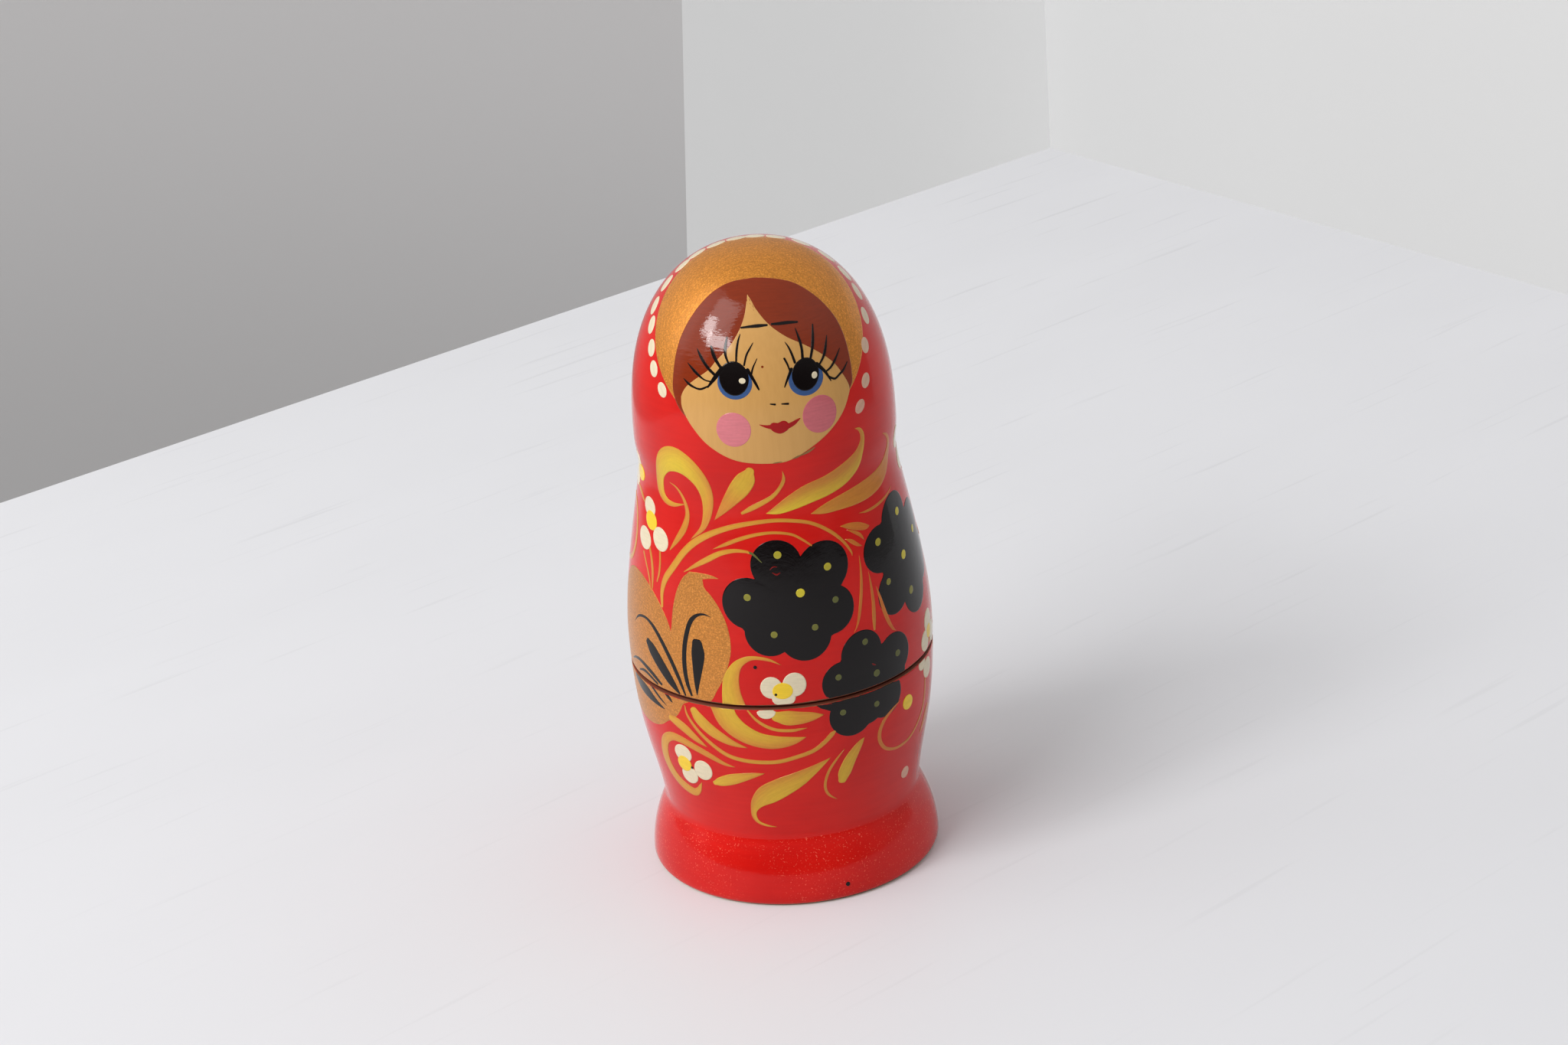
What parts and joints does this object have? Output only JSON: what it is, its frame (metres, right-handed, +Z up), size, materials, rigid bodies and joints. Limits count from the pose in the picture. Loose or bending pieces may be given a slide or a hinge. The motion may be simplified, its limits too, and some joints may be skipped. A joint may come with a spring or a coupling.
{
  "type": "matryoshka nesting doll",
  "caption": "Painted wooden nesting doll that pulls apart at its belly, holding ever smaller dolls one inside another, down to a solid innermost figure.",
  "frame": {"origin": "centre of the largest doll's foot, on the surface that it stands on", "axes": "+Z up along the axis on which every doll was turned, -Y towards the viewer whom the painted faces look at, +X to that viewer's right"},
  "size_m": [0.0542, 0.0542, 0.115],
  "materials": {
    "painted_wood": "turned lime wood, hand painted red with gold, black and white ornament under clear gloss lacquer; bare wood inside"
  },
  "bodies": {
    "doll_1_lower": {"doll_1_lower": "painted_wood"},
    "doll_1_upper": {"doll_1_upper": "painted_wood"},
    "doll_2_lower": {"doll_2_lower": "painted_wood"},
    "doll_2_upper": {"doll_2_upper": "painted_wood"},
    "doll_3_lower": {"doll_3_lower": "painted_wood"},
    "doll_3_upper": {"doll_3_upper": "painted_wood"},
    "doll_4_lower": {"doll_4_lower": "painted_wood"},
    "doll_4_upper": {"doll_4_upper": "painted_wood"},
    "doll_5_whole": {"doll_5_whole": "painted_wood"}
  },
  "joints": [
    {"name": "doll_1_upper_lift", "type": "slide", "parent": "doll_1_lower", "child": "doll_1_upper", "axis": [0, 0, 1], "range_m": [0, 0.3]},
    {"name": "doll_2_lower_lift", "type": "slide", "parent": "doll_1_lower", "child": "doll_2_lower", "axis": [0, 0, 1], "range_m": [0, 0.051]},
    {"name": "doll_2_upper_lift", "type": "slide", "parent": "doll_2_lower", "child": "doll_2_upper", "axis": [0, 0, 1], "range_m": [0, 0.186]},
    {"name": "doll_3_lower_lift", "type": "slide", "parent": "doll_2_lower", "child": "doll_3_lower", "axis": [0, 0, 1], "range_m": [0, 0.039]},
    {"name": "doll_3_upper_lift", "type": "slide", "parent": "doll_3_lower", "child": "doll_3_upper", "axis": [0, 0, 1], "range_m": [0, 0.102]},
    {"name": "doll_4_lower_lift", "type": "slide", "parent": "doll_3_lower", "child": "doll_4_lower", "axis": [0, 0, 1], "range_m": [0, 0.03]},
    {"name": "doll_4_upper_lift", "type": "slide", "parent": "doll_4_lower", "child": "doll_4_upper", "axis": [0, 0, 1], "range_m": [0, 0.042]},
    {"name": "doll_5_lift", "type": "slide", "parent": "doll_4_lower", "child": "doll_5_whole", "axis": [0, 0, 1], "range_m": [0, 0.021]}
  ],
  "couplings": [
    {"joint": "doll_2_lower_lift", "follows": "doll_1_upper_lift", "ratio": 0.17},
    {"joint": "doll_2_upper_lift", "follows": "doll_1_upper_lift", "ratio": 0.62},
    {"joint": "doll_3_lower_lift", "follows": "doll_1_upper_lift", "ratio": 0.13},
    {"joint": "doll_3_upper_lift", "follows": "doll_1_upper_lift", "ratio": 0.34},
    {"joint": "doll_4_lower_lift", "follows": "doll_1_upper_lift", "ratio": 0.1},
    {"joint": "doll_4_upper_lift", "follows": "doll_1_upper_lift", "ratio": 0.14},
    {"joint": "doll_5_lift", "follows": "doll_1_upper_lift", "ratio": 0.07}
  ]
}
